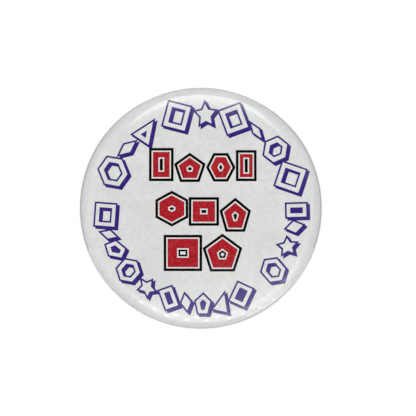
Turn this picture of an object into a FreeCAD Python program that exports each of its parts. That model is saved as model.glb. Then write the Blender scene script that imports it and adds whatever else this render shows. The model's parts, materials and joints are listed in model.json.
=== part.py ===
"""Button badge: a pressed tinplate shell wrapped in printed paper and clear film, closed by a pressed
back plate that carries a spring-wire pin.

Frame: the badge hangs upright as it is worn. The face looks along -Y, the back along +Y, and +Z is the
design's top. The origin is on the axis of the pin's arm, in the badge's upright middle plane. Lengths are
in millimetres and angles in degrees.

The pin's own parts are drawn flat, in the plane that the wire coils in: X along the arm, Y the way the
arm opens and Z the coil's axis. Their placements then lean that plane over towards the back plate.
"""

import FreeCAD, Part
import math
import os
import Sketcher

VEC = FreeCAD.Vector
UP = VEC(0, 0, 1)

doc = FreeCAD.newDocument("button_badge")

# ---------------------------------------------------------------- driving sizes

SIZES = {
    # the finished badge and its profile
    "badge_diameter": 57.2,
    "crown_radius": 215,
    "shoulder_radius": 4.0,
    "skirt_length": 0.4,
    "hem_radius": 1.1,
    # the layers of the front, from the outside in
    "film_thickness": 0.05,
    "paper_thickness": 0.11,
    "shell_thickness": 0.20,
    "layer_gap": 0.02,
    "shell_tuck": 1.0,
    "cover_tuck": 0.7,
    # the back plate
    "plate_thickness": 0.24,
    "land_width": 3.6,
    "land_recess": 0.5,
    "floor_recess": 1.3,
    "plate_bend": 0.2,
    "flange_clearance": 0.1,
    "flare_width": 1.35,
    # the pin's wire and spring coil
    "wire_diameter": 0.9,
    "coil_radius": 1.8,
    "coil_turns": 1.5,
    "coil_turn_gap": 0.05,
    "coil_lean": 60,
    "coil_inset": 4.6,
    # the arm
    "arm_above_centre": 3.0,
    "arm_bend_angle": 12,
    "arm_bend_radius": 3.0,
    "arm_root_length": 3.5,
    "point_length": 7.2,
    "point_tip": 0.06,
    # the base leg and its bridges
    "leg_clearance": 0.05,
    "leg_length": 20.5,
    "leg_turn_radius": 1.4,
    "leg_tail": 4.2,
    "bridge_offset": 5.6,
    "bridge_spacing": 11.0,
    "bridge_width": 2.6,
    "bridge_side_room": 0.25,
    "bridge_top_room": 0.1,
    "bridge_bend": 0.45,
    "strip_foot": 0.8,
    "lance_gap": 0.15,
    # the catch
    "catch_inset": 7.4,
    "catch_width": 3.2,
    "catch_height": 0.9,
    "catch_bend": 0.4,
    "throat_clearance": 0.15,
    "catch_clearance": 0.1,
    "catch_to_point": 0.6,
}

# ---------------------------------------------------------------- sizes that follow from them

FOLLOWING = {
    "badge_radius": "sizes.badge_diameter / 2",
    "wire_radius": "sizes.wire_diameter / 2",
    # how deep each layer lies under the badge's outside
    "paper_inset": "sizes.film_thickness + sizes.layer_gap",
    "shell_inset": "follow.paper_inset + sizes.paper_thickness + sizes.layer_gap",
    # radii on the back plate
    "flange_radius": "follow.badge_radius - 2 * sizes.hem_radius - sizes.layer_gap",
    "floor_radius": "follow.flange_radius - sizes.land_width",
    # the coil: its climb in each turn, and its turns up to where the arm leaves it
    "coil_pitch": "sizes.wire_diameter + sizes.coil_turn_gap",
    "whole_turns": "sizes.coil_turns + sizes.arm_bend_angle / 360",
    # the arm in the coil's own plane: its distance from the coil's centre and along the coil's axis
    "arm_rise": "follow.whole_turns * follow.coil_pitch",
    "root_x": "sizes.coil_radius * sin(sizes.arm_bend_angle)",
    "root_y": "sizes.coil_radius * cos(sizes.arm_bend_angle)",
    "bend_x": "follow.root_x + sizes.arm_root_length * cos(sizes.arm_bend_angle)",
    "bend_y": "follow.root_y - sizes.arm_root_length * sin(sizes.arm_bend_angle)",
    "shaft_x": "follow.bend_x + sizes.arm_bend_radius * sin(sizes.arm_bend_angle)",
    "shaft_y": "follow.bend_y - sizes.arm_bend_radius * (1 - cos(sizes.arm_bend_angle))",
    # the coil's centre, the leg and the plate, from the arm's axis at the origin
    "coil_x": "-(follow.floor_radius - sizes.coil_inset)",
    "coil_y": "-follow.shaft_y * cos(sizes.coil_lean) - follow.arm_rise * sin(sizes.coil_lean)",
    "coil_z": "follow.shaft_y * sin(sizes.coil_lean) - follow.arm_rise * cos(sizes.coil_lean)",
    "leg_y": "follow.coil_y - sizes.coil_radius * cos(sizes.coil_lean)",
    "leg_z": "follow.coil_z + sizes.coil_radius * sin(sizes.coil_lean)",
    "floor_y": "follow.leg_y - follow.wire_radius - sizes.leg_clearance",
    "rim_y": "follow.floor_y + sizes.floor_recess",
    # the catch and the point, along X
    "catch_x": "follow.floor_radius - sizes.catch_inset",
    "point_x": "follow.catch_x - sizes.catch_width / 2 - sizes.catch_to_point - follow.coil_x",
    # how far the catch may reach over the wire and still let it out the way it leans
    "lip_reach": "(sizes.catch_height * sin(sizes.coil_lean) - follow.wire_radius"
    " - sizes.catch_clearance) / cos(sizes.coil_lean)",
    # heights and places on the back plate, in the plate's own frame: the arm, leg, bridges and catch
    "plate_arm_y": "-follow.rim_y",
    "plate_leg_z": "sizes.arm_above_centre + follow.leg_z",
    "bridge_x": "follow.coil_x + sizes.bridge_offset",
    "bridge_half": "follow.wire_radius + sizes.bridge_side_room + sizes.plate_thickness",
    "bridge_top": "sizes.wire_diameter + sizes.leg_clearance + sizes.bridge_top_room"
    " + sizes.plate_thickness - sizes.floor_recess",
    "catch_back": "sizes.arm_above_centre + follow.wire_radius + sizes.throat_clearance"
    " + sizes.plate_thickness",
    "catch_top": "follow.plate_arm_y + sizes.catch_height + sizes.plate_thickness",
    "catch_end": "sizes.arm_above_centre - follow.lip_reach",
    "tongue_length": "follow.catch_top + sizes.floor_recess + follow.catch_back - follow.catch_end",
}


def make_sizes():
    """The sheet of driving sizes, and the set of values worked out from it."""
    sheet = doc.addObject("Spreadsheet::Sheet", "sizes")
    for row, (name, number) in enumerate(SIZES.items(), start=1):
        sheet.set(f"A{row}", name)
        sheet.set(f"B{row}", str(number))
        sheet.setAlias(f"B{row}", name)
    doc.recompute()
    follow = doc.addObject("App::VarSet", "follow")
    for name, formula in FOLLOWING.items():
        follow.addProperty("App::PropertyFloat", name)
        follow.setExpression(name, formula)
    doc.recompute()
    return follow


FOLLOW = make_sizes()


def number(formula):
    """What a formula comes to with the sheet as it stands."""
    return float(FOLLOW.evalExpression(formula))


# ---------------------------------------------------------------- bodies and sketches


def make_body(name, base=(), lean=False):
    """A body with its placement bound to the sheet. A leaning one is turned about X with the coil."""
    body = doc.addObject("PartDesign::Body", name)
    body.Label = name
    if lean:
        body.Placement = FreeCAD.Placement(VEC(), FreeCAD.Rotation(VEC(1, 0, 0), -number("sizes.coil_lean")))
        body.setExpression("Placement.Rotation.Angle", "-sizes.coil_lean")
    for axis, formula in zip("xyz", base):
        body.setExpression(f"Placement.Base.{axis}", formula)
    return body


def make_sketch(body, name, role, offset=()):
    """A sketch on one of the body's own planes, shifted in the sketch's own directions."""
    sketch = body.newObject("Sketcher::SketchObject", name)
    sketch.AttachmentSupport = (next(f for f in body.Origin.OriginFeatures if f.Role == role), [""])
    sketch.MapMode = "FlatFace"
    for axis, formula in zip("xyz", offset):
        sketch.setExpression(f"AttachmentOffset.Base.{axis}", formula)
    return sketch


START, END, CENTRE = 1, 2, 3
ORIGIN = (-1, START)
Y_AXIS = -2


def line(sketch, a, b):
    return sketch.addGeometry(Part.LineSegment(VEC(*a), VEC(*b)), False)


def arc(sketch, centre, radius, first, last):
    """An arc that runs anticlockwise from one angle to another, in degrees."""
    circle = Part.Circle(VEC(*centre), UP, radius)
    return sketch.addGeometry(Part.ArcOfCircle(circle, math.radians(first), math.radians(last)), False)


def tie(sketch, kind, *where):
    sketch.addConstraint(Sketcher.Constraint(kind, *where))


def bind(sketch, kind, *where, formula):
    """A dimension whose value is a formula on the sheet."""
    index = sketch.addConstraint(Sketcher.Constraint(kind, *where, number(formula)))
    sketch.setExpression(f"Constraints[{index}]", formula)


def place(sketch, kind, point, formula):
    """Fixes a point's distance from the sketch's origin along one of its axes."""
    bind(sketch, kind, *ORIGIN, *point, formula=formula)


def revolve(body, sketch, axis):
    turned = body.newObject("PartDesign::Revolution", f"{sketch.Name}_turned")
    turned.Profile = sketch
    turned.ReferenceAxis = (sketch, [axis])
    turned.Angle = 360
    return turned


# ---------------------------------------------------------------- the wrapped front


def layer_line(sketch, inset, tuck):
    """One side of a layer of the front, from the middle of the face round the shoulder and down the
    skirt to the turned-in hem. Every arc keeps its centre and loses the inset from its radius."""
    radius = number("follow.badge_radius")
    hem = number("sizes.hem_radius")
    crown = number("sizes.crown_radius")
    shoulder = number("sizes.shoulder_radius")
    depth = number(inset)
    widest_y = -hem - number("sizes.skirt_length")
    shoulder_x = radius - shoulder
    crown_y = widest_y + math.sqrt((crown - shoulder) ** 2 - shoulder_x**2)
    meeting = -90 + math.degrees(math.asin(shoulder_x / (crown - shoulder)))
    inner_x = radius - 2 * hem + depth

    face = arc(sketch, (0, crown_y, 0), crown - depth, -90, meeting)
    corner = arc(sketch, (shoulder_x, widest_y, 0), shoulder - depth, meeting, 0)
    skirt = line(sketch, (radius - depth, widest_y, 0), (radius - depth, -hem, 0))
    turn = arc(sketch, (radius - hem, -hem, 0), hem - depth, 0, 180)
    tucked = line(sketch, (inner_x, -hem, 0), (inner_x, -hem - number(tuck), 0))

    tie(sketch, "PointOnObject", face, CENTRE, Y_AXIS)
    tie(sketch, "PointOnObject", face, START, Y_AXIS)
    tie(sketch, "Tangent", face, END, corner, START)
    tie(sketch, "Tangent", corner, END, skirt, START)
    tie(sketch, "Tangent", skirt, END, turn, START)
    tie(sketch, "Tangent", turn, END, tucked, START)
    tie(sketch, "Vertical", skirt)
    tie(sketch, "Vertical", tucked)
    bind(sketch, "Radius", face, formula=f"sizes.crown_radius - ({inset})")
    bind(sketch, "Radius", corner, formula=f"sizes.shoulder_radius - ({inset})")
    bind(sketch, "Radius", turn, formula=f"sizes.hem_radius - ({inset})")
    place(sketch, "DistanceX", (skirt, END), f"follow.badge_radius - ({inset})")
    place(sketch, "DistanceY", (corner, CENTRE), "-sizes.hem_radius - sizes.skirt_length")
    place(sketch, "DistanceY", (turn, CENTRE), "-sizes.hem_radius")
    place(sketch, "DistanceY", (tucked, END), f"-sizes.hem_radius - ({tuck})")
    return (face, START), (tucked, END)


def point_of(sketch, end):
    spot = sketch.getPoint(*end)
    return (spot.x, spot.y, 0)


def close_between(sketch, one, other):
    """A straight edge across the thickness, joining two ends."""
    edge = line(sketch, point_of(sketch, one), point_of(sketch, other))
    tie(sketch, "Coincident", edge, START, *one)
    tie(sketch, "Coincident", edge, END, *other)
    return edge


def make_layer(name, inset, thickness, tuck):
    """A skin of the front: the film, the paper or the tinplate shell itself."""
    body = make_body(name, ("0", "follow.rim_y", "-sizes.arm_above_centre"))
    sketch = make_sketch(body, f"{name}_profile", "XY_Plane")
    outer = layer_line(sketch, inset, tuck)
    inner = layer_line(sketch, f"{inset} + {thickness}", tuck)
    for one, other in zip(outer, inner):
        close_between(sketch, one, other)
    revolve(body, sketch, "V_Axis")
    return body


# ---------------------------------------------------------------- bent sheet metal

THICK = "sizes.plate_thickness"


def corner_at(axis, level, other):
    """The point at a run's own level and another coordinate."""
    return (level, other) if axis == "x" else (other, level)


def step(point, way, distance):
    return (point[0] + way[0] * distance, point[1] + way[1] * distance)


def heading(a, b):
    length = math.dist(a, b)
    return ((b[0] - a[0]) / length, (b[1] - a[1]) / length)


def strip_side(sketch, runs, radii, first, last):
    """One side of a bent strip: straight runs parallel to the sketch's axes, joined by round bends.

    A run is (its fixed axis, that coordinate's formula), radii has a formula for each bend, and first
    and last are the formulas for where the side starts and stops along its first and last run.
    """
    axes = [axis for axis, _ in runs]
    levels = [number(formula) for _, formula in runs]
    corners = [corner_at(axes[0], levels[0], number(first))]
    corners += [corner_at(*run) for run in zip(axes, levels, levels[1:])]
    corners += [corner_at(axes[-1], levels[-1], number(last))]
    ways = [heading(a, b) for a, b in zip(corners, corners[1:])]
    cuts = [0] + [number(formula) for formula in radii] + [0]

    lines = []
    for n, way in enumerate(ways):
        a = step(corners[n], way, cuts[n])
        b = step(corners[n + 1], way, -cuts[n + 1])
        lines.append(line(sketch, (*a, 0), (*b, 0)))
    for n, (before, after) in enumerate(zip(ways, ways[1:])):
        radius = cuts[n + 1]
        centre = step(step(corners[n + 1], before, -radius), after, radius)
        turns_left = before[0] * after[1] > before[1] * after[0]
        outward = (-after[0], -after[1]) if turns_left else before
        angle = math.degrees(math.atan2(outward[1], outward[0]))
        bend = arc(sketch, (*centre, 0), radius, angle, angle + 90)
        enter, leave = (START, END) if turns_left else (END, START)
        tie(sketch, "Tangent", lines[n], END, bend, enter)
        tie(sketch, "Tangent", bend, leave, lines[n + 1], START)
        bind(sketch, "Radius", bend, formula=radii[n])
    for edge, (axis, formula) in zip(lines, runs):
        tie(sketch, "Vertical" if axis == "x" else "Horizontal", edge)
        place(sketch, f"Distance{axis.upper()}", (edge, END), formula)
    return (lines[0], START), (lines[-1], END)


def draw_strip(sketch, runs, bends, first, last):
    """The outline of a strip one plate thick, with its material on the right of the way its runs go.
    bends holds the formula of the radius inside each bend."""
    stops = [number(first)] + [number(formula) for _, formula in runs] + [number(last)]
    signs = [1 if after > before else -1 for before, after in zip(stops, stops[2:])]
    opposite = []
    for (axis, formula), sign in zip(runs, signs):
        across = sign if axis == "x" else -sign
        opposite.append((axis, f"{formula} {'+' if across > 0 else '-'} {THICK}"))
    near = []
    far = []
    for n, bend in enumerate(bends):
        turns_left = (signs[n] == signs[n + 1]) == (runs[n][0] == "y")
        outside = f"{bend} + {THICK}"
        near.append(bend if turns_left else outside)
        far.append(outside if turns_left else bend)
    sides = [strip_side(sketch, runs, near, first, last), strip_side(sketch, opposite, far, first, last)]
    for end, formula, axis in ((0, first, runs[0][0]), (1, last, runs[-1][0])):
        edge = close_between(sketch, sides[0][end], sides[1][end])
        if number(formula) == 0:
            tie(sketch, "PointOnObject", *sides[0][end], Y_AXIS)
            tie(sketch, "Vertical", edge)
        else:
            tie(sketch, "Horizontal" if axis == "x" else "Vertical", edge)
            place(sketch, "DistanceY" if axis == "x" else "DistanceX", sides[0][end], formula)


def rectangle(sketch, left, right, bottom, top):
    """A rectangle bound to a formula for each side."""
    x = [number(left), number(right)]
    y = [number(bottom), number(top)]
    spots = [(x[0], y[0], 0), (x[1], y[0], 0), (x[1], y[1], 0), (x[0], y[1], 0)]
    edges = [line(sketch, a, b) for a, b in zip(spots, spots[1:] + spots[:1])]
    for edge, after in zip(edges, edges[1:] + edges[:1]):
        tie(sketch, "Coincident", edge, END, after, START)
    for n, edge in enumerate(edges):
        tie(sketch, "Vertical" if n % 2 else "Horizontal", edge)
    place(sketch, "DistanceX", (edges[0], START), left)
    place(sketch, "DistanceX", (edges[0], END), right)
    place(sketch, "DistanceY", (edges[0], START), bottom)
    place(sketch, "DistanceY", (edges[2], START), top)


def cut_window(body, name, left, right, bottom, top):
    """An opening through the plate's floor, where a tongue or a strip was lanced out of it."""
    sketch = make_sketch(body, f"{name}_outline", "XZ_Plane")
    rectangle(sketch, left, right, bottom, top)
    window = body.newObject("PartDesign::Pocket", name)
    window.Profile = sketch
    window.Midplane = True
    window.setExpression("Length", "3 * sizes.floor_recess")
    return window


def raise_strip(body, name, place_x, width, runs, bends, first, last):
    """A strip lanced out of the plate, drawn from its edge and padded to its width about place_x."""
    sketch = make_sketch(body, f"{name}_profile", "YZ_Plane", ("0", "0", place_x))
    draw_strip(sketch, runs, bends, first, last)
    strip = body.newObject("PartDesign::Pad", name)
    strip.Profile = sketch
    strip.Midplane = True
    strip.setExpression("Length", width)
    return strip


def make_back_plate():
    """The pressed disc: a sunk floor, a raised land, and a flange that turns forward along the hem and
    flares out behind its edge. Two bridges and the catch are lanced out of the floor."""
    body = make_body("back_plate", ("0", "follow.rim_y", "-sizes.arm_above_centre"))
    profile = make_sketch(body, "plate_profile", "XY_Plane")
    floor = "-sizes.floor_recess"
    behind_hem = "-sizes.hem_radius - sizes.shell_tuck - sizes.flange_clearance"
    runs = [
        ("y", floor),
        ("x", "follow.floor_radius"),
        ("y", "-sizes.land_recess"),
        ("x", "follow.flange_radius"),
        ("y", behind_hem),
    ]
    draw_strip(profile, runs, ["sizes.plate_bend"] * 4, "0", "follow.flange_radius + sizes.flare_width")
    revolve(body, profile, "V_Axis")

    half_slot = "(sizes.bridge_width / 2 + sizes.lance_gap)"
    bridge_low = "follow.plate_leg_z - follow.bridge_half"
    bridge_high = "follow.plate_leg_z + follow.bridge_half"
    slot_one = cut_window(
        body,
        "bridge_window",
        f"follow.bridge_x - {half_slot}",
        f"follow.bridge_x + {half_slot}",
        bridge_low,
        bridge_high,
    )
    slots = body.newObject("PartDesign::LinearPattern", "bridge_windows")
    slots.Originals = [slot_one]
    slots.Direction = (slot_one.Profile[0], ["H_Axis"])
    slots.setExpression("Length", "sizes.bridge_spacing")
    slots.Occurrences = 2
    body.Tip = slots

    catch_slot = "(sizes.catch_width / 2 + sizes.lance_gap)"
    cut_window(
        body,
        "catch_window",
        f"follow.catch_x - {catch_slot}",
        f"follow.catch_x + {catch_slot}",
        "follow.catch_back - follow.tongue_length",
        "follow.catch_back + sizes.plate_bend",
    )

    bridge = raise_strip(
        body,
        "bridge",
        "follow.bridge_x",
        "sizes.bridge_width",
        [("x", floor), ("y", bridge_low), ("x", "follow.bridge_top"), ("y", bridge_high), ("x", floor)],
        ["sizes.plate_bend", "sizes.bridge_bend", "sizes.bridge_bend", "sizes.plate_bend"],
        f"{bridge_low} - sizes.plate_bend - sizes.strip_foot",
        f"{bridge_high} + sizes.plate_bend + sizes.strip_foot",
    )
    bridges = body.newObject("PartDesign::LinearPattern", "bridges")
    bridges.Originals = [bridge]
    bridges.Direction = (bridge.Profile[0], ["N_Axis"])
    bridges.setExpression("Length", "sizes.bridge_spacing")
    bridges.Occurrences = 2
    body.Tip = bridges

    raise_strip(
        body,
        "catch",
        "follow.catch_x",
        "sizes.catch_width",
        [("x", floor), ("y", "follow.catch_back"), ("x", "follow.catch_top")],
        ["sizes.plate_bend", "sizes.catch_bend"],
        "follow.catch_back + sizes.plate_bend + sizes.strip_foot",
        "follow.catch_end",
    )
    return body


# ---------------------------------------------------------------- the wire pin


def wire_section(body, name, x, y, role="YZ_Plane", offset=()):
    """The wire's round section, centred at x and y in the sketch."""
    sketch = make_sketch(body, name, role, offset)
    circle = sketch.addGeometry(Part.Circle(VEC(number(x), number(y), 0), UP, number("follow.wire_radius")))
    bind(sketch, "Radius", circle, formula="follow.wire_radius")
    for kind, formula in (("DistanceX", x), ("DistanceY", y)):
        if number(formula) == 0:
            tie(sketch, "PointOnObject", circle, CENTRE, Y_AXIS if kind == "DistanceX" else -1)
        else:
            place(sketch, kind, (circle, CENTRE), formula)
    return sketch


def sweep(body, name, section, path):
    pipe = body.newObject("PartDesign::AdditivePipe", name)
    pipe.Profile = section
    pipe.Spine = path
    return pipe


def make_leg():
    """The fixed leg: straight under both bridges, with its end turned up along the plate's floor so
    that it can't roll."""
    body = make_body("pin_leg", ("follow.coil_x", "follow.leg_y", "follow.leg_z"))
    section = wire_section(body, "leg_section", "0", "0")
    path = make_sketch(body, "leg_path", "XZ_Plane")
    length = number("sizes.leg_length")
    turn = number("sizes.leg_turn_radius")
    run = line(path, (0, 0, 0), (length - turn, 0, 0))
    bend = arc(path, (length - turn, turn, 0), turn, -90, 0)
    tail = line(path, (length, turn, 0), (length, number("sizes.leg_tail"), 0))
    tie(path, "Coincident", run, START, *ORIGIN)
    tie(path, "Horizontal", run)
    tie(path, "Tangent", run, END, bend, START)
    tie(path, "Tangent", bend, END, tail, START)
    tie(path, "Vertical", tail)
    bind(path, "Radius", bend, formula="sizes.leg_turn_radius")
    place(path, "DistanceX", (tail, END), "sizes.leg_length")
    place(path, "DistanceY", (tail, END), "sizes.leg_tail")
    sweep(body, "leg", section, path)
    return body


PIN_BASE = ("follow.coil_x", "follow.coil_y", "follow.coil_z")


def make_coil():
    """The spring coil: it leaves the leg, winds clockwise seen from its rising end and meets the arm."""
    body = make_body("pin_coil", PIN_BASE, lean=True)
    section = wire_section(body, "coil_section", "-sizes.coil_radius", "0")
    coil = body.newObject("PartDesign::AdditiveHelix", "coil")
    coil.Profile = section
    coil.ReferenceAxis = (section, ["V_Axis"])
    coil.Mode = "pitch-turns-angle"
    coil.LeftHanded = True
    coil.setExpression("Pitch", "follow.coil_pitch")
    coil.setExpression("Turns", "follow.whole_turns")
    return body


def make_arm():
    """The moving arm: a short root that leaves the coil, a slight bend, the straight shaft and the
    ground point that lies in the catch."""
    body = make_body("pin_arm", PIN_BASE, lean=True)
    bend = number("sizes.arm_bend_angle")
    radius = number("sizes.arm_bend_radius")
    shaft = (number("follow.shaft_x"), number("follow.shaft_y"))
    path = make_sketch(body, "root_path", "XY_Plane", ("0", "0", "follow.arm_rise"))
    curve = arc(path, (shaft[0], shaft[1] + radius, 0), radius, -90 - bend, -90)
    bend_spot = (number("follow.bend_x"), number("follow.bend_y"), 0)
    root_spot = (number("follow.root_x"), number("follow.root_y"), 0)
    root = line(path, bend_spot, root_spot)
    tie(path, "Tangent", curve, START, root, START)
    bind(path, "Radius", curve, formula="sizes.arm_bend_radius")
    place(path, "DistanceX", (curve, END), "follow.shaft_x")
    place(path, "DistanceY", (curve, END), "follow.shaft_y")
    place(path, "DistanceX", (curve, CENTRE), "follow.shaft_x")
    place(path, "DistanceX", (root, END), "follow.root_x")
    place(path, "DistanceY", (root, END), "follow.root_y")
    section = wire_section(
        body, "root_section", "follow.shaft_y", "follow.arm_rise", offset=("0", "0", "follow.shaft_x")
    )
    sweep(body, "root", section, path)

    profile = make_sketch(body, "shaft_profile", "XY_Plane", ("0", "follow.shaft_y", "follow.arm_rise"))
    wire = number("follow.wire_radius")
    taper = number("follow.point_x")
    tip = taper + number("sizes.point_length")
    nose = number("sizes.point_tip")
    spots = [(shaft[0], 0, 0), (shaft[0], wire, 0), (taper, wire, 0), (tip, nose, 0), (tip, 0, 0)]
    edges = [line(profile, a, b) for a, b in zip(spots, spots[1:] + spots[:1])]
    for edge, after in zip(edges, edges[1:] + edges[:1]):
        tie(profile, "Coincident", edge, END, after, START)
    tie(profile, "PointOnObject", edges[0], START, -1)
    tie(profile, "PointOnObject", edges[3], END, -1)
    tie(profile, "Vertical", edges[0])
    tie(profile, "Horizontal", edges[1])
    tie(profile, "Vertical", edges[3])
    place(profile, "DistanceX", (edges[0], START), "follow.shaft_x")
    place(profile, "DistanceY", (edges[0], END), "follow.wire_radius")
    place(profile, "DistanceX", (edges[1], END), "follow.point_x")
    place(profile, "DistanceX", (edges[2], END), "follow.point_x + sizes.point_length")
    place(profile, "DistanceY", (edges[2], END), "sizes.point_tip")
    revolve(body, profile, "H_Axis")
    return body


# ---------------------------------------------------------------- build, check and write


def check(parts):
    """Stops if anything in the document failed, or a piece isn't one sound solid."""
    for item in doc.Objects:
        if "Invalid" in item.State or "Error" in item.State:
            raise RuntimeError(f"{item.Name} is {item.State}")
    for part in parts:
        shape = part.Shape
        if shape.isNull() or not shape.isValid() or len(shape.Solids) != 1:
            raise RuntimeError(f"{part.Label} is not one sound solid")
        print(f"{part.Label:12} {shape.Volume:9.3f} mm3  {shape.BoundBox}")


PARTS = [
    make_layer("front_shell", "follow.shell_inset", "sizes.shell_thickness", "sizes.shell_tuck"),
    make_layer("print_disc", "follow.paper_inset", "sizes.paper_thickness", "sizes.cover_tuck"),
    make_layer("face_film", "0", "sizes.film_thickness", "sizes.cover_tuck"),
    make_back_plate(),
    make_leg(),
    make_coil(),
    make_arm(),
]
doc.recompute()
check(PARTS)
os.makedirs("parts", exist_ok=True)
for made in PARTS:
    made.Shape.exportStep(f"parts/{made.Label}.step")
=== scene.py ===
"""Button badge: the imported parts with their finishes, the printed face and the winding spring coil.

Lengths are in metres. The face looks along -Y, the back along +Y and +Z is the top of the design.
"""

import json
import math

import bmesh
import bpy
from mathutils import Matrix, Vector


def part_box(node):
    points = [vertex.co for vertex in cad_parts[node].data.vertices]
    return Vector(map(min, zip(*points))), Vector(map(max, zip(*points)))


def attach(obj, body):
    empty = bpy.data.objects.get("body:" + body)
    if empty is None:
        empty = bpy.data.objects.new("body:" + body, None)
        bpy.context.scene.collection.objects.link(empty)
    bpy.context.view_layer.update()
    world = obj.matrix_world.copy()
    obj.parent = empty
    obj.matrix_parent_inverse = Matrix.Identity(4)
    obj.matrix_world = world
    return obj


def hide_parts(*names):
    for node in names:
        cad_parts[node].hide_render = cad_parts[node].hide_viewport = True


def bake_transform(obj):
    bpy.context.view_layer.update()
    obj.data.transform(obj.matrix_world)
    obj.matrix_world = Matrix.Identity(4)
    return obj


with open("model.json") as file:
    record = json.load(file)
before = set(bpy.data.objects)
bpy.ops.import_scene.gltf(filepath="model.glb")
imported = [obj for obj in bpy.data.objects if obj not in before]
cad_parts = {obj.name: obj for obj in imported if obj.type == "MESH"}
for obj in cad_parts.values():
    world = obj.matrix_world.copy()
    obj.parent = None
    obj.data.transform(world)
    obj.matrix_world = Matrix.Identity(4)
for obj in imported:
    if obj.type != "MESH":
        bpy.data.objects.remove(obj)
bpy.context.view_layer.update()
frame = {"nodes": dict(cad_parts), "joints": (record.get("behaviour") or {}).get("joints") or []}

nodes = frame["nodes"]
MM = 0.001


# ---------------------------------------------------------------- front shell
# The shell is a cup pressed from bright tinplate. The paper and film cover all but its turned-in edge,
# which shows as a thin bright line inside the hem at the back.


class Signal:
    """An output of a finish's nodes. Arithmetic on it adds the Math nodes."""

    def __init__(self, finish, socket):
        self.finish = finish
        self.socket = socket

    def maths(self, operation, a, b):
        return self.finish.node("Math", {"operation": operation}, {0: a, 1: b})

    def __add__(self, other):
        return self.maths("ADD", self, other)

    def __radd__(self, other):
        return self.maths("ADD", other, self)

    def __sub__(self, other):
        return self.maths("SUBTRACT", self, other)

    def __rsub__(self, other):
        return self.maths("SUBTRACT", other, self)

    def __mul__(self, other):
        return self.maths("MULTIPLY", self, other)

    def __rmul__(self, other):
        return self.maths("MULTIPLY", other, self)


class Finish:
    """A finish being mixed: every node that isn't plain arithmetic comes from node()."""

    def __init__(self, name, tree=None):
        if tree is None:
            self.material = bpy.data.materials.new(name)
            self.material.use_nodes = True
            tree = self.material.node_tree
        self.tree = tree
        self.tree.nodes.clear()

    def node(self, kind, settings=None, sockets=None, give=None):
        """Adds a node, with its settings first and then its sockets' values or links. Gives back the
        output named by give, or else the first one."""
        made = self.tree.nodes.new(f"ShaderNode{kind}")
        for name, value in (settings or {}).items():
            setattr(made, name, value)
        for name, value in (sockets or {}).items():
            socket = made.inputs[name] if isinstance(name, int) else self.find(made.inputs, name)
            if isinstance(value, Signal):
                self.tree.links.new(value.socket, socket)
            else:
                socket.default_value = value
        if not made.outputs:
            return None
        return Signal(self, self.find(made.outputs, give))

    def find(self, sockets, name):
        return next(s for s in sockets if s.enabled and name in (None, s.name))

    def seen(self):
        """1 for what the camera sees straight away, in a mirror or through something clear."""
        straight, mirrored, through = [
            self.node("LightPath", give=f"Is {way} Ray") for way in ("Camera", "Glossy", "Transmission")
        ]
        return self.node("Clamp", sockets={"Value": straight + mirrored + through})

    def surface(self, shader):
        self.node("OutputMaterial", sockets={"Surface": shader})
        return self.material

    def place(self, stretch=(1, 1, 1)):
        """Where a point is on the piece, measured in the piece's own space and stretched along its axes."""
        where = self.node("TexCoord", give="Object")
        return self.node("VectorMath", {"operation": "MULTIPLY"}, {0: where, 1: stretch})

    def noise(self, where, scale, detail=2.0, roughness=0.5):
        return self.node(
            "TexNoise", sockets={"Vector": where, "Scale": scale, "Detail": detail, "Roughness": roughness}
        )

    def ease(self, value, low, high, start=0.0, end=1.0):
        """Goes smoothly from start to end as the value goes from low to high."""
        return self.node(
            "MapRange",
            {"interpolation_type": "SMOOTHSTEP"},
            {"Value": value, "From Min": low, "From Max": high, "To Min": start, "To Max": end},
        )

    def blend(self, share, a, b):
        return self.node("Mix", {"data_type": "RGBA"}, {"Factor": share, "A": a, "B": b})

    def bump(self, height, depth, normal=None):
        sockets = {"Height": height, "Distance": depth, "Strength": 1.0}
        if normal is not None:
            sockets["Normal"] = normal
        return self.node("Bump", sockets=sockets)


def rolled_tinplate(name, bright, dull, line_depth):
    """Tinned sheet as it leaves the mill: fine rolling lines along X, cloudy patches and a few scuffs."""
    finish = Finish(name)
    along = finish.place(stretch=(0.02, 1, 1))
    streaks = finish.noise(along, scale=9000, detail=2, roughness=0.6)
    broad = finish.noise(along, scale=1800, detail=2, roughness=0.5)
    clouds = finish.noise(finish.place(), scale=160, detail=3, roughness=0.55)
    rubbed = finish.noise(finish.place(stretch=(1, 1, 0.12)), scale=2600, detail=1)
    scuffs = finish.ease(rubbed, low=0.66, high=0.74)
    shade = finish.ease(clouds + broad * 0.4, low=0.45, high=0.95)
    colour = finish.blend(shade, bright, dull)
    rough = 0.2 + streaks * 0.1 + clouds * 0.12 + scuffs * 0.12
    shader = finish.node(
        "BsdfPrincipled",
        sockets={
            "Base Color": colour,
            "Metallic": 1.0,
            "Roughness": rough,
            "Normal": finish.bump(streaks + broad, line_depth),
        },
    )
    return finish.surface(shader)


def dress(node, material):
    """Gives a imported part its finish."""
    nodes[node].data.materials.clear()
    nodes[node].data.materials.append(material)


shell_tin = rolled_tinplate(
    "shell_tinplate", bright=(0.62, 0.62, 0.63, 1), dull=(0.5, 0.5, 0.51, 1), line_depth=0.0004 * MM
)
dress("front_shell", shell_tin)


# ---------------------------------------------------------------- printed paper
# A disc of pale, faintly speckled paper is wrapped over the shell's shoulder and tucked in behind with
# it, where it puckers into small pleats round the hem.

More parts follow.
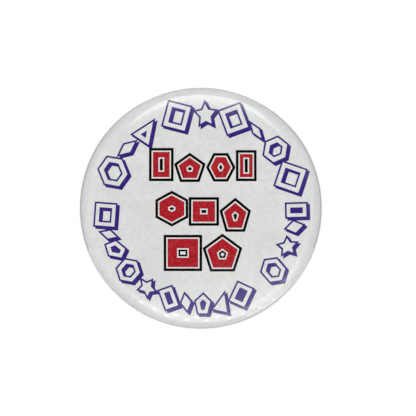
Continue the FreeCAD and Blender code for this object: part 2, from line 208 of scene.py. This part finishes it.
film_low, film_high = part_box("face_film")
RADIUS = film_high.x
CROWN_RADIUS = 215 * MM
SHOULDER_RADIUS = 4 * MM
HEM_RADIUS = 1.1 * MM
SKIRT = 0.4 * MM
TUCK = 0.7 * MM
FACE_STEPS = 20
SHOULDER_STEPS = 22
HEM_STEPS = 20
ROUND_STEPS = 240
SMOOTH_ANGLE = math.radians(35)
shoulder_x = RADIUS - SHOULDER_RADIUS
meeting = math.asin(shoulder_x / (CROWN_RADIUS - SHOULDER_RADIUS))
crown_y = film_low.y + CROWN_RADIUS
widest_y = crown_y - (CROWN_RADIUS - SHOULDER_RADIUS) * math.cos(meeting)
hem_y = widest_y + SKIRT
disc = Vector((0, hem_y + HEM_RADIUS, (film_low.z + film_high.z) / 2))


def wrapped_profile(depth):
    """Half the outline of a layer that lies this deep under the badge's outside, from the middle of the
    face round the shoulder and the hem to the tucked edge: distances from the disc's axis, and Y."""
    points = []
    for n in range(FACE_STEPS + 1):
        a = meeting * n / FACE_STEPS
        reach = CROWN_RADIUS - depth
        points.append((reach * math.sin(a), crown_y - reach * math.cos(a)))
    for n in range(1, SHOULDER_STEPS + 1):
        a = meeting + (math.pi / 2 - meeting) * n / SHOULDER_STEPS
        reach = SHOULDER_RADIUS - depth
        points.append((shoulder_x + reach * math.sin(a), widest_y - reach * math.cos(a)))
    for n in range(HEM_STEPS + 1):
        a = math.pi * n / HEM_STEPS
        reach = HEM_RADIUS - depth
        points.append((RADIUS - HEM_RADIUS + reach * math.cos(a), hem_y + reach * math.sin(a)))
    points.append((RADIUS - 2 * HEM_RADIUS + depth, hem_y - TUCK))
    return points


def edit(part):
    """Opens a piece for editing with all of it selected."""
    bpy.ops.object.select_all(action="DESELECT")
    part.select_set(True)
    bpy.context.view_layer.objects.active = part
    bpy.ops.object.mode_set(mode="EDIT")
    bpy.ops.mesh.select_mode(type="VERT")
    bpy.ops.mesh.select_all(action="SELECT")


def turn_layer(name, profile, thickness):
    """Turns a profile about the disc's axis and thickens it inwards into a closed skin."""
    bpy.ops.object.select_all(action="DESELECT")
    first = Vector((profile[0][0], profile[0][1], disc.z))
    bpy.ops.mesh.primitive_plane_add(size=MM, location=first)
    layer = bpy.context.object
    layer.name = name
    bpy.ops.object.transform_apply(location=True)
    edit(layer)
    bpy.ops.mesh.merge(type="CENTER")
    for before, after in zip(profile, profile[1:]):
        step = (after[0] - before[0], after[1] - before[1], 0)
        bpy.ops.mesh.extrude_region_move(TRANSFORM_OT_translate={"value": step})
    bpy.ops.mesh.select_all(action="SELECT")
    bpy.ops.mesh.spin(
        steps=ROUND_STEPS, angle=math.tau, center=disc, axis=(0, 1, 0), use_auto_merge=True
    )
    bpy.ops.mesh.select_all(action="SELECT")
    bpy.ops.mesh.remove_doubles(threshold=0.001 * MM)
    bpy.ops.mesh.normals_make_consistent(inside=False)
    bpy.ops.object.mode_set(mode="OBJECT")
    wall = layer.modifiers.new("wall", "SOLIDIFY")
    wall.thickness = thickness
    wall.offset = -1
    wall.use_even_offset = True
    bpy.ops.object.modifier_apply(modifier=wall.name)
    bpy.ops.object.shade_smooth_by_angle(angle=SMOOTH_ANGLE)
    return layer


def from_axis(finish):
    """How far a point is from the disc's axis, and the direction it lies in."""
    flat = finish.place(stretch=(1, 0, 1))
    spoke = finish.node("VectorMath", {"operation": "SUBTRACT"}, {0: flat, 1: (0, 0, disc.z)})
    way = finish.node("VectorMath", {"operation": "NORMALIZE"}, {0: spoke})
    return finish.node("VectorMath", {"operation": "LENGTH"}, {0: spoke}, "Value"), way


PLEAT_DEPTH = 0.13 * MM


def pleats(finish):
    """The puckers that a wrapped disc has round its hem, where there is less room for it."""
    way = from_axis(finish)[1]
    along = finish.node("SeparateXYZ", sockets={0: finish.place()}, give="Y")
    behind = finish.ease(along, low=widest_y - 0.1 * MM, high=hem_y + 0.8 * MM)
    waves = finish.noise(way, scale=21, detail=1, roughness=0.5)
    return finish.ease(waves, low=0.3, high=0.62) * behind


def speckled_paper():
    """Pale uncoated paper: cloudy pulp and small grey flecks, with painted shade that greys it at the very
    rim.
    """
    finish = Finish("speckled_paper")
    where = finish.place()
    clouds = finish.noise(where, scale=130, detail=4, roughness=0.6)
    pulp = finish.noise(where, scale=1100, detail=3, roughness=0.65)
    fleck = finish.ease(finish.noise(where, scale=2300, detail=1), low=0.6, high=0.72)
    rare = finish.ease(finish.noise(where, scale=420, detail=2), low=0.66, high=0.76)
    shade = finish.ease(clouds * 0.45 + pulp * 0.55, low=0.4, high=0.6)
    colour = finish.blend(shade, (0.655, 0.675, 0.65, 1), (0.725, 0.735, 0.72, 1))
    colour = finish.blend(fleck * 0.3 + rare * 0.15, colour, (0.47, 0.49, 0.46, 1))
    # Painted shade: the paper's colour turns grey in the last half millimetre before the rim, standing in
    # for the darker line along the turning edge.
    rim = finish.ease(from_axis(finish)[0], low=RADIUS - 0.8 * MM, high=RADIUS - 0.3 * MM)
    colour = finish.blend(rim * 0.68, colour, (0.4, 0.4, 0.38, 1))
    shader = finish.node(
        "BsdfPrincipled",
        sockets={
            "Base Color": colour,
            "Roughness": 0.6,
            "Specular IOR Level": 0.1,
            "Normal": finish.bump(pleats(finish), PLEAT_DEPTH, finish.bump(pulp, 0.004 * MM)),
        },
    )
    return finish.surface(shader)


PAPER_DEPTH = 0.07 * MM
PAPER_THICKNESS = 0.11 * MM
paper_disc = turn_layer("paper_disc", wrapped_profile(PAPER_DEPTH), PAPER_THICKNESS)
paper = speckled_paper()
paper_disc.data.materials.append(paper)
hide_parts("print_disc")
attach(paper_disc, "badge")


# ---------------------------------------------------------------- printed marks
# The design is printed on the paper in three inks. A ring of plain shapes is left paper-white inside a
# purple outline, with a purple shadow dropped to the lower right. Three rows of red shapes fill the
# middle, each edged in white and then in black.

INK_LIFT = 0.008 * MM
INK_THICKNESS = 0.006 * MM
# How far a red mark's middle is from the innermost of its bands.
HEART = 0.36 * MM
# Each shape's corners, how far in the points between them are drawn (1 for not at all), and its turn in
# degrees.
SHAPES = {
    "star": (5, 0.52, 0),
    "lozenge": (4, 1, 0),
    "block": (4, 1, 45),
    "wedge": (3, 1, 0),
    "pentagon": (5, 1, 0),
    "hexagon": (6, 1, 0),
    "nut": (6, 1, 30),
}


def printing_ink(name, colour, pale, patchy):
    """Ink that soaks into the paper a little unevenly, so its colour isn't quite flat."""
    finish = Finish(name)
    where = finish.place()
    thin = finish.ease(finish.noise(where, scale=1500, detail=3, roughness=0.6), low=0.42, high=0.78)
    pinhole = finish.ease(finish.noise(where, scale=5200, detail=1), low=0.7, high=0.8)
    tone = finish.blend(thin * patchy + pinhole * patchy, colour, pale)
    shader = finish.node(
        "BsdfPrincipled",
        sockets={
            "Base Color": tone,
            "Roughness": finish.noise(where, scale=900, detail=2) * 0.2 + 0.4,
            "Specular IOR Level": 0.0,
            "Normal": finish.bump(thin, 0.0015 * MM),
        },
    )
    return finish.surface(shader)


purple_ink = printing_ink(
    "purple_ink", colour=(0.034, 0.011, 0.185, 1), pale=(0.13, 0.09, 0.36, 1), patchy=0.25
)
red_ink = printing_ink("red_ink", colour=(0.385, 0.012, 0.02, 1), pale=(0.58, 0.085, 0.1, 1), patchy=0.42)
black_ink = printing_ink(
    "black_ink", colour=(0.0015, 0.001, 0.002, 1), pale=(0.02, 0.017, 0.023, 1), patchy=0.25
)


def grow_to(width, height):
    """Scales the open shape to fill a width and a height about the sheet's origin."""
    spots = [v.co for v in bmesh.from_edit_mesh(bpy.context.object.data).verts]
    x = [p.x for p in spots]
    y = [p.y for p in spots]
    bpy.ops.transform.translate(value=(-(min(x) + max(x)) / 2, -(min(y) + max(y)) / 2, 0))
    bpy.ops.transform.resize(
        value=(width / (max(x) - min(x)), height / (max(y) - min(y)), 1), center_override=(0, 0, 0)
    )


LONGEST_EDGE = 1.1 * MM
LONGEST_OUTER_EDGE = LONGEST_EDGE / 4
OUTER_PART = 24.8 * MM


def divide_edges():
    """Halves every edge that is too long, until none is left. What lies near the shoulder is cut finer,
    so that the print can follow it."""
    while True:
        drawn = bmesh.from_edit_mesh(bpy.context.object.data)
        found = 0
        for e in drawn.edges:
            far = max(v.co.xy.length for v in e.verts)
            e.select = e.calc_length() > (LONGEST_EDGE if far < OUTER_PART else LONGEST_OUTER_EDGE)
            found += e.select
        bmesh.update_edit_mesh(bpy.context.object.data)
        if not found:
            return
        bpy.ops.mesh.subdivide(number_cuts=1)


def depth_inside(mark):
    """How far the middle of the open shape is from its nearest edge."""
    drawn = bmesh.from_edit_mesh(mark.data)
    middle = next(iter(drawn.faces)).calc_center_median()
    reach = []
    for e in drawn.edges:
        a, b = (v.co for v in e.verts)
        reach.append((middle - a).cross(b - a).length / (b - a).length)
    return min(reach)


def draw_mark(shape, width, height, bands, core, inks):
    """Draws one mark flat on the sheet at its origin. bands are (width, ink's place in inks) from the
    outline inwards, and core is the ink's place in the middle, or None for a hole. The band with no
    width takes what the others leave round the heart of the mark."""
    corners, waist, turn = SHAPES[shape]
    pointed = waist < 1
    bpy.ops.object.select_all(action="DESELECT")
    bpy.ops.mesh.primitive_circle_add(
        vertices=corners * 2 if pointed else corners, radius=MM, fill_type="NGON", location=(0, 0, 0)
    )
    mark = bpy.context.object
    for ink in inks:
        mark.data.materials.append(ink)
    edit(mark)
    if pointed:
        drawn = bmesh.from_edit_mesh(mark.data)
        bpy.ops.mesh.select_all(action="DESELECT")
        for v in drawn.verts:
            v.select = v.index % 2 == 1
        bmesh.update_edit_mesh(mark.data)
        bpy.ops.transform.resize(value=(waist, waist, 1), center_override=(0, 0, 0))
        bpy.ops.mesh.select_all(action="SELECT")
    if turn:
        bpy.ops.transform.rotate(value=math.radians(turn), orient_axis="Z", center_override=(0, 0, 0))
    grow_to(width, height)
    bpy.ops.mesh.select_mode(type="FACE")
    bpy.ops.mesh.select_all(action="SELECT")
    spare = depth_inside(mark) - HEART - sum(band or 0 for band, ink in bands)
    for band, ink in bands:
        mark.active_material_index = ink
        bpy.ops.object.material_slot_assign()
        bpy.ops.mesh.inset(thickness=band or spare, use_even_offset=True)
    if core is None:
        bpy.ops.mesh.delete(type="FACE")
    else:
        mark.active_material_index = core
        bpy.ops.object.material_slot_assign()
        bpy.ops.mesh.poke()
    return mark


def put_mark(mark, x, y, turn):
    """Turns an open mark on the sheet, moves it to its place and cuts it fine enough to bend."""
    bpy.ops.mesh.select_all(action="SELECT")
    bpy.ops.transform.rotate(value=math.radians(turn), orient_axis="Z", center_override=(0, 0, 0))
    bpy.ops.transform.translate(value=(x, y, 0))
    bpy.ops.mesh.select_mode(type="EDGE")
    divide_edges()
    bpy.ops.object.mode_set(mode="OBJECT")


def lay_print(name, marks, lift):
    """Joins marks into one print, stands it in front of the paper and lays it on the paper."""
    bpy.ops.object.select_all(action="DESELECT")
    for mark in marks:
        mark.select_set(True)
    bpy.context.view_layer.objects.active = marks[0]
    bpy.ops.object.join()
    printed = bpy.context.object
    printed.name = name
    printed.rotation_euler = (math.radians(90), 0, 0)
    printed.location = (0, film_low.y - MM, disc.z)
    bpy.ops.object.transform_apply(location=True, rotation=True)
    laid = printed.modifiers.new("laid", "SHRINKWRAP")
    laid.target = paper_disc
    laid.wrap_method = "PROJECT"
    laid.wrap_mode = "ABOVE_SURFACE"
    laid.use_project_y = True
    laid.use_positive_direction = True
    laid.offset = lift
    bpy.ops.object.modifier_apply(modifier=laid.name)
    layer = printed.modifiers.new("layer", "SOLIDIFY")
    layer.thickness = INK_THICKNESS
    layer.offset = -1
    bpy.ops.object.modifier_apply(modifier=layer.name)
    bpy.ops.object.shade_smooth_by_angle(angle=SMOOTH_ANGLE)
    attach(printed, "badge")


# The ring's marks, each arc from left to right: the angle clockwise from the top in degrees, the shape,
# its width in millimetres and what is inside it, which is an open hole, a solid core or nothing.
UPPER_MARKS = (
    (292.5, "nut", 8.2, "hole"),
    (309.0, "lozenge", 3.1, None),
    (325.9, "wedge", 5.6, "core"),
    (345.4, "block", 6.0, "hole"),
    (2.8, "star", 5.9, None),
    (20.3, "block", 5.8, "hole"),
    (35.7, "lozenge", 2.4, None),
    (52.1, "hexagon", 6.0, "hole"),
    (71.3, "block", 6.4, "hole"),
)
LOWER_MARKS = (
    (265.8, "block", 5.9, "hole"),
    (253.9, "lozenge", 2.8, None),
    (244.6, "pentagon", 4.5, "core"),
    (229.1, "nut", 6.5, "hole"),
    (214.8, "star", 5.0, None),
    (199.6, "block", 3.8, "core"),
    (188.9, "lozenge", 3.1, None),
    (178.7, "pentagon", 4.3, "core"),
    (166.9, "wedge", 4.5, None),
    (155.1, "block", 4.5, "core"),
    (130.6, "nut", 7.0, "hole"),
    (113.4, "star", 5.2, None),
    (101.4, "lozenge", 3.6, None),
    (91.4, "block", 3.8, "core"),
)
OUTLINE = 0.42 * MM
RING_INKS = (purple_ink, paper)
SHADOW_DROP = Vector((0.5 * MM, -0.46 * MM, 0))


def ring_row(entries, radius, height, stroke, upright):
    """Draws one arc of the ring. Marks on the upper arc stand outwards, those on the lower one inwards.
    The stroke is the white band between a mark's outline and what is inside it."""
    for angle, shape, width, inside in entries:
        bands = [(OUTLINE, 0)]
        if inside:
            bands.append((stroke, 1))
        if inside == "hole":
            bands.append((OUTLINE, 0))
        core = {"hole": None, "core": 0, None: 1}[inside]
        mark = draw_mark(shape, width * MM, height, bands, core, RING_INKS)
        t = math.radians(angle)
        put_mark(mark, radius * math.sin(t), radius * math.cos(t), -angle + (0 if upright else 180))
        ring_marks.append(mark)
        bpy.ops.object.duplicate()
        shadow = bpy.context.object
        edit(shadow)
        shadow.active_material_index = 0
        bpy.ops.object.material_slot_assign()
        bpy.ops.transform.translate(value=SHADOW_DROP)
        bpy.ops.mesh.select_mode(type="EDGE")
        divide_edges()
        bpy.ops.object.mode_set(mode="OBJECT")
        ring_shadows.append(shadow)


ring_marks = []
ring_shadows = []
ring_row(UPPER_MARKS, radius=22.0 * MM, height=6.5 * MM, stroke=0.95 * MM, upright=True)
ring_row(LOWER_MARKS, radius=22.2 * MM, height=5.4 * MM, stroke=0.8 * MM, upright=False)
lay_print("ring_shadows", ring_shadows, lift=INK_LIFT)
lay_print("ring_marks", ring_marks, lift=2 * INK_LIFT)

# The marks of the middle's three rows: each one's shape, its left and right edges, its foot and its top,
# in millimetres from the disc's centre.
MIDDLE_MARKS = (
    ("block", -12.0, -6.3, 6.2, 13.9),
    ("pentagon", -6.2, 1.1, 6.0, 12.8),
    ("nut", 1.2, 8.0, 6.1, 12.7),
    ("block", 8.1, 12.9, 6.2, 13.4),
    ("hexagon", -10.5, -2.9, -4.3, 4.0),
    ("block", -2.8, 4.2, -4.1, 2.5),
    ("pentagon", 4.3, 11.6, -5.5, 2.4),
    ("block", -8.6, 0.3, -14.6, -6.2),
    ("pentagon", 0.4, 9.6, -14.7, -5.9),
)
MIDDLE_INKS = (black_ink, paper, red_ink)
BLACK_EDGE = 0.61 * MM
WHITE_EDGE = 0.31 * MM
# A mark wider than this has an open middle, with a thinner black edge of its own.
LARGE_MARK = 8 * MM
INNER_BLACK_EDGE = 0.7 * BLACK_EDGE

middle_marks = []
for shape, left, right, foot, top in MIDDLE_MARKS:
    width, height = (right - left) * MM, (top - foot) * MM
    large = width > LARGE_MARK
    bands = [(BLACK_EDGE, 0), (WHITE_EDGE, 1), (None, 2), (WHITE_EDGE, 1)]
    if large:
        bands.append((INNER_BLACK_EDGE, 0))
    mark = draw_mark(shape, width, height, bands, None if large else 0, MIDDLE_INKS)
    put_mark(mark, (left + right) / 2 * MM, (foot + top) / 2 * MM, turn=0)
    middle_marks.append(mark)
lay_print("middle_marks", middle_marks, lift=2 * INK_LIFT)


# ---------------------------------------------------------------- clear film
# A disc of clear polyester film lies over the print. It is pressed round the shell with the paper, shares
# its pleats at the hem, and is what makes the face glossy.


def clear_film():
    """A clear sheet that mirrors more as it turns away from the eye, with faint ripples and dull specks."""
    finish = Finish("clear_film")
    ripple = finish.noise(finish.place(), scale=240, detail=2)
    specks = finish.noise(finish.place(), scale=1900, detail=2, roughness=0.6)
    dust = finish.ease(specks, low=0.62, high=0.8)
    uneven = finish.bump(pleats(finish), PLEAT_DEPTH, finish.bump(ripple, 0.005 * MM))
    facing = finish.node("NewGeometry", give="Backfacing")
    mirror = finish.node("Fresnel", sockets={"IOR": 1.5, "Normal": uneven}) * (1 - facing)
    gloss = finish.node(
        "BsdfGlossy", sockets={"Color": (1, 1, 1, 1), "Roughness": 0.07 + dust * 0.06, "Normal": uneven}
    )
    clear = finish.node("BsdfTransparent", sockets={"Color": (0.995, 0.995, 0.995, 1)})
    return finish.surface(finish.node("MixShader", sockets={0: mirror, 1: clear, 2: gloss}))


FILM_THICKNESS = 0.05 * MM
film_skin = turn_layer("film_skin", wrapped_profile(depth=0), FILM_THICKNESS)
film_skin.data.materials.append(clear_film())
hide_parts("face_film")
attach(film_skin, "badge")


# ---------------------------------------------------------------- back plate
# The back plate is pressed from bright tinplate. Its flange is locked in the shell's hem, and its two
# bridges and its catch are lanced out of the floor and bent up over the wire.

back_tin = rolled_tinplate(
    "back_tinplate", bright=(0.62, 0.62, 0.625, 1), dull=(0.5, 0.5, 0.51, 1), line_depth=0.0005 * MM
)
dress("back_plate", back_tin)


# ---------------------------------------------------------------- wire pin
# The pin is one length of nickel-plated spring wire. Its leg is held under the two bridges, its coil is
# the spring, and its arm is ground to a point that rests in the catch.


def drawn_wire(name):
    """Plated wire, with the fine lines of the die along it and patches where the plating is dull."""
    finish = Finish(name)
    along = finish.noise(finish.place(stretch=(0.03, 1, 1)), scale=14000, detail=2)
    worn = finish.noise(finish.place(), scale=900, detail=3, roughness=0.6)
    dulled = finish.ease(worn, low=0.35, high=0.7)
    colour = finish.blend(dulled, (0.64, 0.63, 0.6, 1), (0.5, 0.49, 0.47, 1))
    shader = finish.node(
        "BsdfPrincipled",
        sockets={
            "Base Color": colour,
            "Metallic": 1.0,
            "Roughness": 0.14 + worn * 0.14,
            "Normal": finish.bump(along, 0.0006 * MM),
        },
    )
    return finish.surface(shader)


wire_nickel = drawn_wire("nickelled_wire")
for node in ("pin_leg", "pin_arm"):
    dress(node, wire_nickel)

# The coil is drawn as a straight length first, cut evenly along the wire, and is then wound on the coil's
# leaning axis.
WIRE_RADIUS = 0.45 * MM
COIL_RADIUS = 1.8 * MM
COIL_PITCH = 0.95 * MM
# The turns up to where the arm leaves the coil, which is 12 degrees past a turn and a half.
COIL_TURNS = 1.5 + 12 / 360
WIRE_SIDES = 32
WIRE_STEPS = 110
joint = frame["joints"][0]
coil_centre = Vector(joint["pos_m"])
coil_axis = Vector(joint["axis"]).normalized()
wire_length = math.tau * COIL_RADIUS * COIL_TURNS

bpy.ops.object.select_all(action="DESELECT")
bpy.ops.mesh.primitive_circle_add(
    vertices=WIRE_SIDES, radius=WIRE_RADIUS, fill_type="NGON", rotation=(0, math.pi / 2, 0)
)
coil = bpy.context.object
coil.name = "coil_wire"
bpy.ops.object.transform_apply(rotation=True)
edit(coil)
bpy.ops.mesh.extrude_region_move(TRANSFORM_OT_translate={"value": (wire_length, 0, 0)})
bpy.ops.mesh.select_mode(type="EDGE")
drawn = bmesh.from_edit_mesh(coil.data)
for e in drawn.edges:
    e.select = abs(e.verts[0].co.x - e.verts[1].co.x) > wire_length / 2
bmesh.update_edit_mesh(coil.data)
bpy.ops.mesh.subdivide(number_cuts=WIRE_STEPS - 1)
bpy.ops.mesh.select_all(action="SELECT")
bpy.ops.mesh.normals_make_consistent(inside=False)
bpy.ops.object.mode_set(mode="OBJECT")
bpy.ops.object.shade_smooth_by_angle(angle=SMOOTH_ANGLE)
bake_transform(coil)
opening = Vector((1, 0, 0)).cross(coil_axis).normalized()
for v in coil.data.vertices:
    t = v.co.x / COIL_RADIUS
    spoke = -math.sin(t) * Vector((1, 0, 0)) + math.cos(t) * opening
    climb = v.co.z + COIL_PITCH * t / math.tau
    v.co = coil_centre + spoke * (COIL_RADIUS + v.co.y) + coil_axis * climb
coil.data.update()
coil.data.materials.append(wire_nickel)
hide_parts("pin_coil")


# ---------------------------------------------------------------- studio
# A pale floor well below the hanging badge, and a white surround that is dark round the lens, so that
# the ink stays dark. Soft lights stand in front, behind, above and below, and a row of small lamps low in
# front.

FLOOR_Z = -0.2
FLOOR_MIDDLE_Y = 0.1
FLOOR_SIZE = 1.1
bpy.ops.object.select_all(action="DESELECT")
bpy.ops.mesh.primitive_plane_add(size=1, location=(0, FLOOR_MIDDLE_Y, FLOOR_Z))
floor = bpy.context.object
floor.name = "floor"
floor.scale = (FLOOR_SIZE, FLOOR_SIZE, 1)


def pale_floor():
    """A pale floor that takes the lamps' light and shadows, and fades to white further out."""
    finish = Finish("pale_floor")
    lit = finish.node("BsdfDiffuse", sockets={"Color": (0.86, 0.86, 0.86, 1)})
    reach = finish.node("VectorMath", {"operation": "LENGTH"}, {0: finish.place()}, "Value")
    glow = finish.seen() * finish.ease(reach, low=0.15, high=0.48, start=0.4, end=1.0)
    shine = finish.node("Emission", sockets={"Color": (1, 1, 1, 1), "Strength": glow})
    return finish.surface(finish.node("AddShader", sockets={0: lit, 1: shine}))


floor.data.materials.append(pale_floor())

world = bpy.data.worlds.new("studio")
bpy.context.scene.world = world
world.use_nodes = True
sky = Finish("studio", world.node_tree)
looking = sky.node("TexCoord", give="Generated")
forward = sky.node("VectorMath", {"operation": "DOT_PRODUCT"}, {0: looking, 1: (0, -1, 0)}, "Value")
camera_ray = sky.node("LightPath", give="Is Camera Ray")
mirrored = sky.seen() - camera_ray
ahead = sky.ease(forward, low=0.86, high=0.985, start=1.0, end=0.03)
behind = sky.ease(forward, low=-0.6, high=-0.15, start=0.62, end=1.0)
SKY_LIGHT = 0.6
strength = camera_ray + mirrored * ahead * behind + (1 - sky.seen()) * SKY_LIGHT
surround = sky.node("Background", sockets={"Color": (1, 1, 1, 1), "Strength": strength})
sky.node("OutputWorld", sockets={"Surface": surround})


def direction(bearing, tilt):
    """A direction from the disc's middle: tilted away from straight ahead, towards a bearing that is
    measured clockwise from the top as the face is seen. Both are in degrees."""
    t = math.radians(bearing)
    a = math.radians(tilt)
    return Vector((math.sin(a) * math.sin(t), -math.cos(a), math.sin(a) * math.cos(t)))


def lamp(name, bearing, tilt, distance, width, height, radiance, shape="RECTANGLE", fades=None):
    """A flat lamp that faces the middle of the disc. Its height runs away from the face's middle. Fades
    are the shares of it that dim at its inner end, at its outer end and at each side."""
    data = bpy.data.lights.new(name, "AREA")
    data.shape = shape
    data.size = width
    data.size_y = height
    data.energy = radiance * width * height * math.pi * (math.pi / 4 if shape == "ELLIPSE" else 1)
    if fades:
        data.use_nodes = True
        glow = Finish(name, data.node_tree)
        across = glow.node("NewGeometry", give="Parametric")
        side = glow.node("SeparateXYZ", sockets={0: across}, give="X")
        up = glow.node("SeparateXYZ", sockets={0: across}, give="Y")
        inner, outer, sides = fades
        ends = glow.ease(up, low=0.0, high=inner) * glow.ease(up, low=1.0, high=1 - outer)
        left_side = glow.ease(side, low=0.0, high=sides)
        right_side = glow.ease(side, low=1.0, high=1 - sides)
        strength = ends * left_side * right_side
        glow.node("OutputLight", sockets={"Surface": glow.node("Emission", sockets={"Strength": strength})})
    held = bpy.data.objects.new(name, data)
    bpy.context.scene.collection.objects.link(held)
    out = direction(bearing, tilt)
    outwards = (direction(bearing, tilt + 1) - out).normalized()
    turned = Matrix((outwards.cross(out), outwards, out)).transposed().to_4x4()
    held.matrix_world = Matrix.Translation(disc + out * distance) @ turned
    held.visible_camera = False
    return held


fill = lamp("fill_softbox", bearing=0, tilt=6, distance=0.7, width=0.9, height=0.9, radiance=1.33)
fill.visible_glossy = False
lamp("rear_softbox", bearing=0, tilt=145, distance=0.6, width=0.5, height=0.4, radiance=1.4)

# Lamps that show only as reflections.
mirrored_lamps = [
    lamp(
        "top_softbox", bearing=3, tilt=38, distance=0.6, width=0.58, height=0.485, radiance=4.2,
        fades=(0.29, 0.03, 0.15),
    ),
    lamp(
        "low_softbox", bearing=165, tilt=48, distance=0.12, width=0.24, height=0.17, radiance=2.7,
        fades=(0.4, 0.3, 0.3),
    ),
    lamp(
        "edge_softbox", bearing=145, tilt=92, distance=0.12, width=0.08, height=0.07, radiance=2.2,
        fades=(0.3, 0.3, 0.3),
    ),
]
# The small lamps, in a zigzag: each one's bearing from straight down, its tilt and its radiance.
ROW_LAMPS = (
    (32.5, 56, 9),
    (24.5, 51, 9),
    (18, 63, 9),
    (13.3, 46, 9),
    (7, 60, 9),
    (2, 45, 9),
    (-3, 61.5, 9),
    (-9, 46, 9),
    (-14.5, 72, 9),
    (-21.5, 70, 7),
    (-30.5, 79, 6),
    (-38.5, 86, 5),
)
ROW_DISTANCE = 0.09
ROW_WIDTH = 0.0028
ROW_HEIGHT = 0.018
for n, (turn, tilt, radiance) in enumerate(ROW_LAMPS):
    small = lamp(
        f"row_lamp_{n}", 180 + turn, tilt, ROW_DISTANCE, ROW_WIDTH, ROW_HEIGHT, radiance, "ELLIPSE"
    )
    mirrored_lamps.append(small)
for held in mirrored_lamps:
    held.visible_diffuse = False


# ---------------------------------------------------------------- camera
# The lens looks straight at the disc's centre from the front, and the view is shifted a little, so that
# the badge hangs left of its middle.

LENS = 85
SHIFT = 0.0172
LENS_DISTANCE = 0.2267
NEAREST = 0.01
camera_data = bpy.data.cameras.new("camera")
camera_data.lens = LENS
camera_data.shift_x = SHIFT
camera_data.clip_start = NEAREST
camera = bpy.data.objects.new("camera", camera_data)
bpy.context.scene.collection.objects.link(camera)
camera.location = (disc.x, film_low.y - LENS_DISTANCE, disc.z)
camera.rotation_euler = (math.radians(90), 0, 0)
bpy.context.scene.camera = camera
bpy.context.scene.view_settings.view_transform = "Standard"
